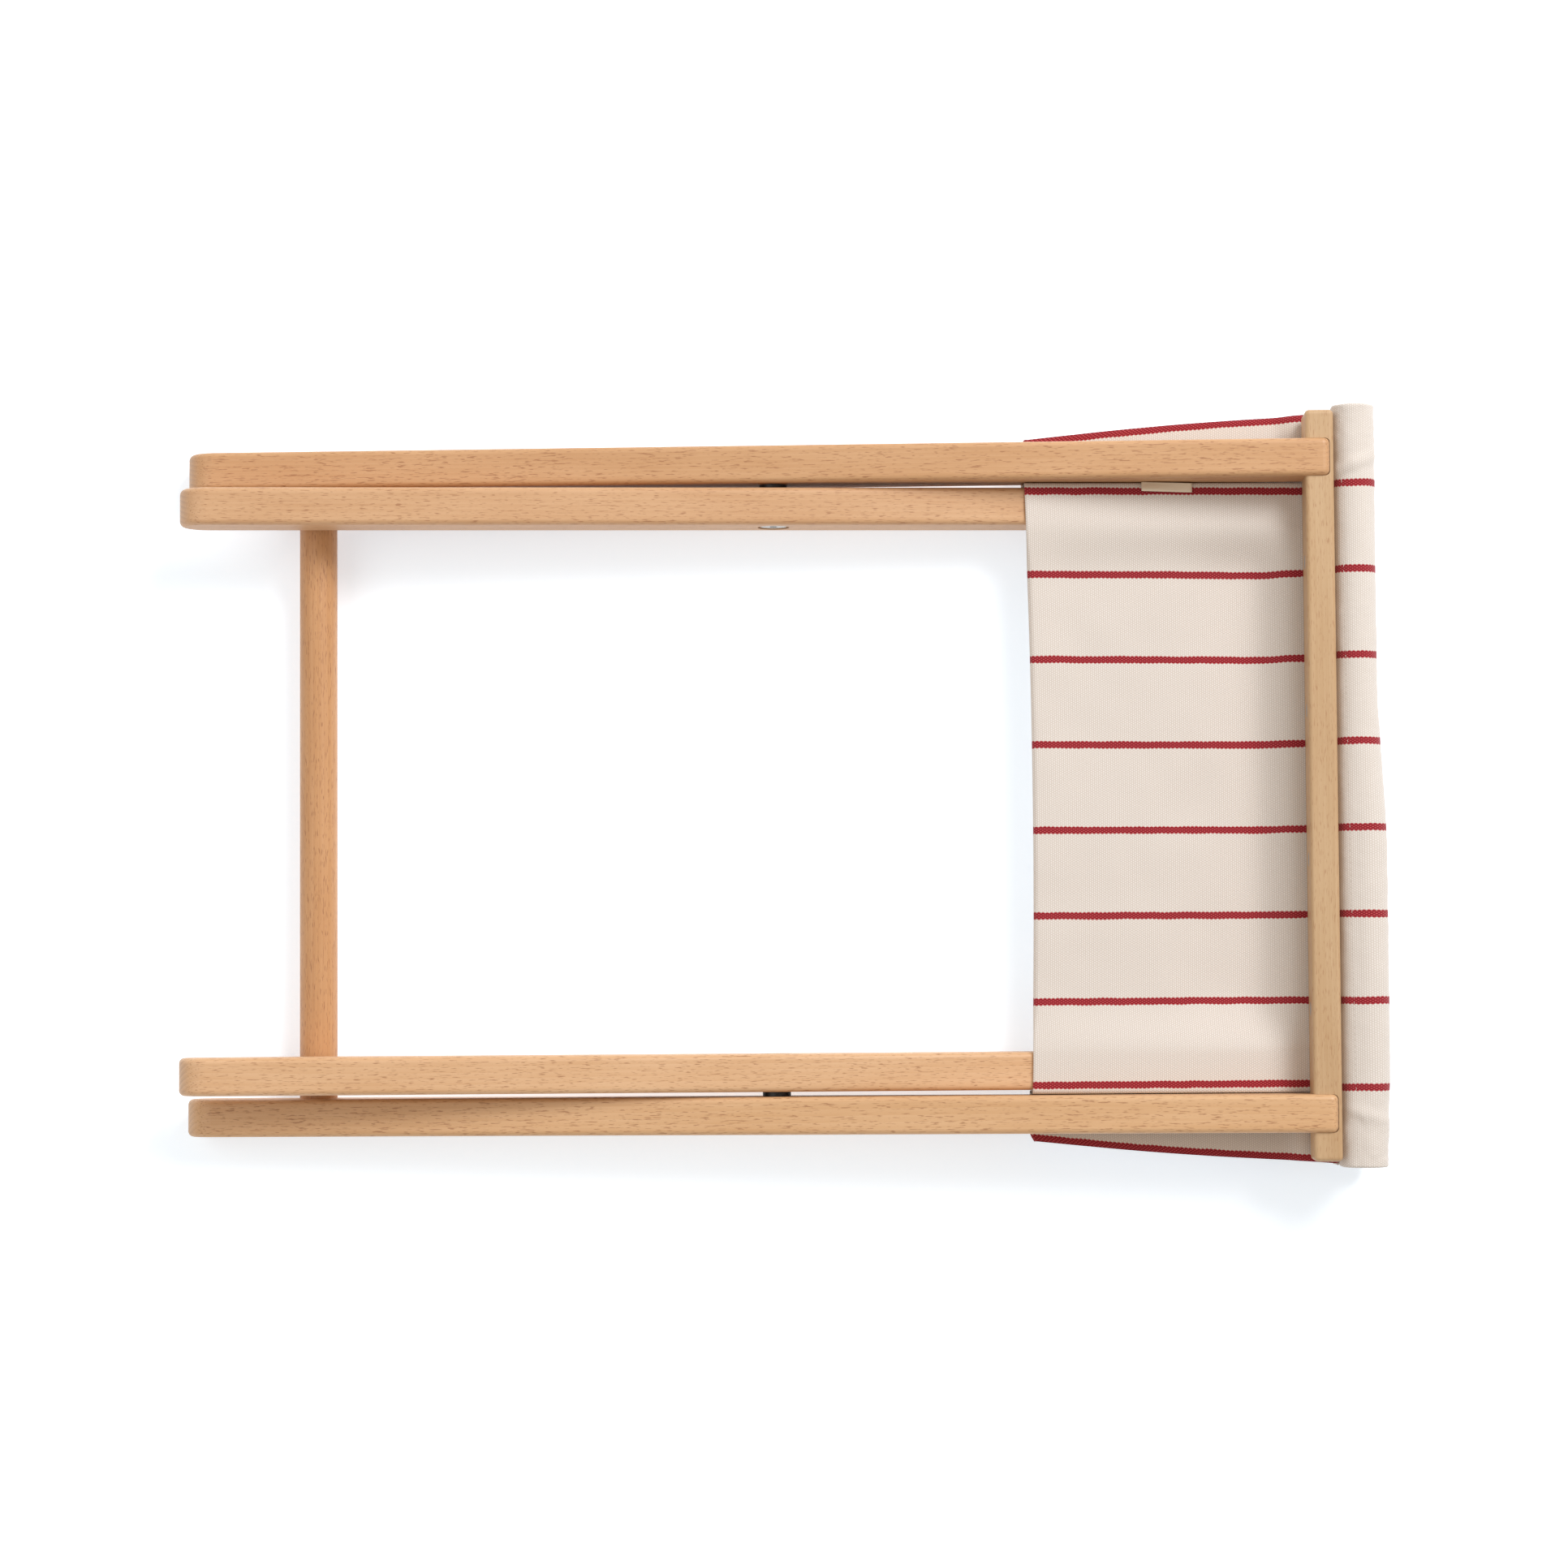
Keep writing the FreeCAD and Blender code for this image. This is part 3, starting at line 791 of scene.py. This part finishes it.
@dataclass
class SeatPocket:
    """The sewn tube round a seat bar: taut by the rail, slack on its outer side."""

    name: str
    body: str
    node: str
    side: Frame
    bar_reach: float = 308.1
    rail_end: float = 297.0
    radius: float = 10.72           # of the cloth's middle
    half_length: float = 201.0
    hem: float = 5.4                # turned in at each end
    hem_radius: float = 0.95
    hem_share: float = 0.045        # of the grid's columns, at each end
    round_bar: float = 350.0        # degrees that the cloth goes round
    first_stitch_angle: float = 107.0
    last_stitch_angle: float = 131.0
    seam_drop: float = 12.0
    slack: float = 4.0
    rows: int = 60
    columns: int = 330
    thickness: float = 0.7
    stitch_pitch: float = 3.2
    stitch_size: tuple[float, float, float] = (0.17, 1.0, 0.16)  # half of each side
    stitch_slant: float = 4.0       # in degrees

    def stitch_angle(self, y: float) -> float:
        """Returns where round the tube the seam's stitches run, in radians."""
        share = (y + self.half_length) / (2.0 * self.half_length)
        return math.radians(lerp(self.first_stitch_angle, self.last_stitch_angle, share))

    def tube_radius(self, angle: float, y: float) -> float:
        """Returns the tube's radius at an angle, 0 being away from the rail.

        Args:
            angle: Radians round the bar, towards the top.
            y: Millimetres from the middle of the stool.

        Returns:
            The radius of the cloth's middle there, in millimetres.
        """
        outward = max(0.0, math.cos(angle - 0.15)) ** 1.3
        room = ease((58.0 - y) / 95.0)
        room *= lerp(0.6, 1.0, ease((y + self.half_length) / 60.0))
        puckers = noise.noise(Vector((angle * 1.2, y * 0.085, self.side.value))) * 0.45
        puckers += abs(noise.noise(Vector((angle * 2.2, y * 0.24, 5.0)))) * 0.35
        by_end = ease((abs(y) - LEG_MIDDLE) / 30.0)
        crease = 1.3 * bell(y - 176.0 + 4.0 * angle, 3.6)
        crease -= 0.7 * bell(y - 169.0 + 4.0 * angle, 2.6)
        crease += 0.9 * bell(y + 178.0 - 3.0 * angle, 3.4)
        stitch = bell((angle - self.stitch_angle(y)) * self.radius, 0.9)
        tuck = 0.5 + 0.5 * math.cos(2.0 * math.pi * y / self.stitch_pitch)
        grown = self.slack * outward * room + 0.05 + puckers * (0.6 + 0.9 * by_end)
        grown += crease * max(0.0, math.sin(angle)) - 0.22 * stitch * (0.5 + tuck)
        return self.radius + max(0.0, grown)

    def turned_in(self, across: float) -> tuple[float, float]:
        """Returns the Y of a spot of the cloth and how far it lies inside the tube's face."""
        bend_from = self.half_length - self.hem_radius
        past = abs(across) - bend_from
        if past <= 0.0:
            return across, 0.0
        turn = min(past / self.hem_radius, math.pi)
        y = bend_from + self.hem_radius * math.sin(turn)
        y -= max(0.0, past - math.pi * self.hem_radius)
        return math.copysign(y, across), self.hem_radius * (1.0 - math.cos(turn))

    def around(self) -> float:
        """Returns the length of cloth in the tube and its seam, across the bar."""
        return self.seam_drop + self.radius * math.radians(self.round_bar)

    def spot(self, first: float, second: float) -> tuple[float, float, Vector]:
        """Returns a spot's cloth measures and its place, from its shares of the grid."""
        along = first * self.around()
        reach = self.half_length + self.hem - 1.0
        edge = self.half_length - 2.0 * self.hem_radius
        hem = self.hem_share
        if second < hem:
            across = lerp(-reach, -edge, second / hem)
        elif second > 1.0 - hem:
            across = lerp(edge, reach, (second - 1.0 + hem) / hem)
        else:
            across = lerp(-edge, edge, (second - hem) / (1.0 - 2.0 * hem))
        y, inset = self.turned_in(across)
        if along < self.seam_drop:
            distance, rise = self.bar_reach - self.rail_end - 0.55, along - self.seam_drop
            flank = self.tube_radius(math.pi, y) - inset
            u = self.bar_reach - lerp(distance, flank, ease(along / self.seam_drop))
        else:
            angle = math.pi - (along - self.seam_drop) / self.radius
            radius = self.tube_radius(angle, y) - inset
            if angle > math.pi / 2.0:
                radius = min(radius, (self.bar_reach - self.rail_end - 0.4)
                             / max(0.2, -math.cos(angle)))
            u = self.bar_reach + radius * math.cos(angle)
            rise = radius * math.sin(angle)
        x, z = leaned(self.side, u, rise)
        return along, across, place(x, y, z)

    def build(self, canvas: bpy.types.Material,
              thread: bpy.types.Material) -> list[bpy.types.Object]:
        """Makes the pocket and its stitching, and hangs both on the pocket's body.

        Args:
            canvas: The canvas material.
            thread: The sewing thread material.

        Returns:
            The pocket and its stitching.
        """
        pocket = to_object(self.name, cloth_grid(self.rows, self.columns, self.spot))
        thicken(pocket, self.thickness)
        dress(pocket, canvas)
        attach(pocket, self.body)
        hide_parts(self.node)
        return [pocket, self.stitching(thread)]

    def stitching(self, thread: bpy.types.Material) -> bpy.types.Object:
        """Makes the row of stitches along the pocket's seam."""
        mesh = bmesh.new()
        count = int(2.0 * (self.half_length - 4.0) / self.stitch_pitch)
        for number in range(count):
            y = (number + 0.5 - count / 2.0) * self.stitch_pitch
            angle = self.stitch_angle(y)
            radius = self.tube_radius(angle, y) + self.thickness / 2.0 - 0.04
            u = self.bar_reach + radius * math.cos(angle)
            x, z = leaned(self.side, u, radius * math.sin(angle))
            size = Matrix.Diagonal((*(side * MM for side in self.stitch_size), 1.0))
            tilt = Euler((0.0, 0.0, math.radians(self.stitch_slant))).to_matrix().to_4x4()
            where = Matrix.Translation(place(x, y, z)) @ tilt @ size
            bmesh.ops.create_uvsphere(mesh, u_segments=6, v_segments=6, radius=1.0, matrix=where)
        stitches = to_object(f"{self.name}_stitching", mesh)
        dress(stitches, thread)
        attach(stitches, self.body)
        return stitches


@dataclass
class SideTag:
    """A blank loop of tape that peeps out beside the outer leg, over the canvas."""

    drape: SeatDrape
    start: float = 196.2
    width: float = 27.0
    root: float = 162.2
    tip: float = 158.0
    loop_radius: float = 0.55
    thickness: float = 0.35
    skew: float = 0.6               # of the loop across the tape
    lift: float = 0.9               # of the loop's tip at its near corner

    def spot(self, first: float, second: float) -> tuple[float, float, Vector]:
        """Returns a spot's tape measures and its place, from its shares of the grid."""
        run = self.root - self.tip
        bend = math.pi * self.loop_radius
        along = first * (2.0 * run + bend)
        x = self.start + second * self.width
        base = self.drape.leg_face(x) + ABOVE_LEG + self.drape.lap + self.loop_radius
        skew = self.skew * (0.5 - second)
        if along < run:
            y, rise = self.root - along, 0.0
        elif along < run + bend:
            turn = (along - run) / self.loop_radius
            y = self.tip - self.loop_radius * math.sin(turn)
            rise = self.loop_radius * (1.0 - math.cos(turn))
        else:
            y, rise = self.tip + along - run - bend, 2.0 * self.loop_radius
        lift = self.lift * ease((self.root - y) / run) * (1.0 - second) ** 1.5
        return along, second * self.width, place(x, y + skew, base + rise * (1.0 + lift) + lift)

    def build(self, tape: bpy.types.Material) -> bpy.types.Object:
        """Makes the tag, dresses it in tape and hangs it on the seat."""
        tag = to_object("side_tag_loop", cloth_grid(26, 20, self.spot))
        thicken(tag, self.thickness)
        dress(tag, tape)
        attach(tag, "seat_front")
        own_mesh(tag)
        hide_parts("side_tag")
        return tag


# ---- the studio --------------------------------------------------------------------------------
@dataclass
class Studio:
    """A pale floor, a soft key light from the seat end, soft fill and the camera."""

    lens: float = 87.95
    sensor: float = 36.0
    distance: float = 2040.4
    shift: tuple[float, float] = (-4.75, -3.03)  # of the pivot in the view, in millimetres
    tip_angle: float = -2.9
    roll_angle: float = 0.36
    key_energy: float = 76.0
    key_size: float = 1.35
    key_from: tuple[float, float, float] = (1400.0, 1700.0, 2200.0)
    side_energy: float = 9.0
    side_size: float = 1.5
    side_from: tuple[float, float, float] = (-1500.0, 200.0, 1900.0)
    aimed_at: tuple[float, float, float] = (60.0, 0.0, 0.0)
    key_tint: tuple[float, float, float] = (0.975, 1.005, 1.045)
    fill: float = 0.52
    fill_tint: tuple[float, float, float, float] = (1.0, 0.94, 0.86, 1.0)

    def floor(self) -> None:
        """Lays the floor under the stool."""
        mesh = bmesh.new()
        bmesh.ops.create_grid(mesh, x_segments=8, y_segments=8, size=6.0)
        ground = to_object("floor", mesh)
        dress(ground, FloorPaint().material())

    def softbox(self, name: str, energy: float, size: float,
                hung_from: tuple[float, float, float]) -> None:
        """Hangs a square soft light, aimed at the stool.

        Args:
            name: The light's name.
            energy: Its power in watts.
            size: The length of its side in metres.
            hung_from: Its place in millimetres from the pivot.
        """
        lamp = bpy.data.lights.new(name, "AREA")
        lamp.energy = energy
        lamp.size = size
        lamp.color = self.key_tint
        box = bpy.data.objects.new(name, lamp)
        bpy.context.scene.collection.objects.link(box)
        box.location = place(*hung_from)
        aim = place(*self.aimed_at) - box.location
        box.rotation_euler = aim.to_track_quat("-Z", "Y").to_euler()

    def lights(self) -> None:
        """Hangs the two soft lights and sets the fill from all round."""
        scene = bpy.context.scene
        world = bpy.data.worlds.new("studio fill")
        world.use_nodes = True
        background = world.node_tree.nodes["Background"]
        background.inputs["Color"].default_value = self.fill_tint
        background.inputs["Strength"].default_value = self.fill
        scene.world = world
        self.softbox("key softbox", self.key_energy, self.key_size, self.key_from)
        self.softbox("side softbox", self.side_energy, self.side_size, self.side_from)
        scene.view_settings.view_transform = "Standard"

    def camera(self) -> None:
        """Hangs the camera over the stool."""
        data = bpy.data.cameras.new("camera")
        data.lens = self.lens
        data.sensor_width = self.sensor
        data.clip_end = 50.0
        view = bpy.data.objects.new("camera", data)
        bpy.context.scene.collection.objects.link(view)
        turn = (Matrix.Rotation(math.radians(self.roll_angle), 3, "Z")
                @ Matrix.Rotation(math.radians(self.tip_angle), 3, "X")).transposed()
        offset = Vector((-self.shift[0], -self.shift[1], self.distance))
        view.matrix_world = (Matrix.Translation(PIVOT + turn @ offset * MM)
                             @ turn.to_4x4())
        bpy.context.scene.camera = view

    def build(self) -> None:
        """Builds the whole studio."""
        self.floor()
        self.lights()
        self.camera()


@dataclass
class CampStool:
    """The whole stool: two frames, their fittings and the canvas seat."""

    drape: SeatDrape = field(default_factory=SeatDrape)

    def build(self) -> None:
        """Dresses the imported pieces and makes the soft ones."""
        outer = LegFrame(Frame.OUTER, ("outer_leg_left", "outer_leg_right"),
                         ("outer_top_rail", "outer_seat_bar", "outer_stretcher"))
        inner = LegFrame(Frame.INNER, ("inner_leg_left", "inner_leg_right"),
                         ("inner_top_rail", "inner_seat_bar"))
        outer.dress()
        inner.dress()
        Fittings().dress()
        canvas = Canvas().material()
        thread = SewingThread().material()
        front = SeatPanel("seat_canvas_front", "seat_front", "seat_front_hang",
                          "seat_cloth_front", 1.0, self.drape).build(canvas)
        back = SeatPanel("seat_canvas_back", "seat_back", "seat_back_hang",
                         "seat_cloth_back", -1.0, self.drape).build(canvas)
        upper = SeatPocket("bar_pocket_outer", "outer_frame", "seat_pocket_outer", Frame.OUTER)
        lower = SeatPocket("bar_pocket_inner", "inner_frame", "seat_pocket_inner", Frame.INNER)
        tag = SideTag(self.drape).build(Ribbon().material())
        width = 2.0 * self.drape.selvage * MM
        panel_cut = (width, self.drape.length() * MM)
        for pocket, bar in ((upper, "outer_seat_bar"), (lower, "inner_seat_bar")):
            tube, stitches = pocket.build(canvas, thread)
            pocket.around() * MM


def main() -> None:
    """Builds the stool and the studio."""
    logging.basicConfig(level=logging.INFO, format="%(name)s: %(message)s")
    CampStool().build()
    Studio().build()


if __name__ == "__main__":
    main()
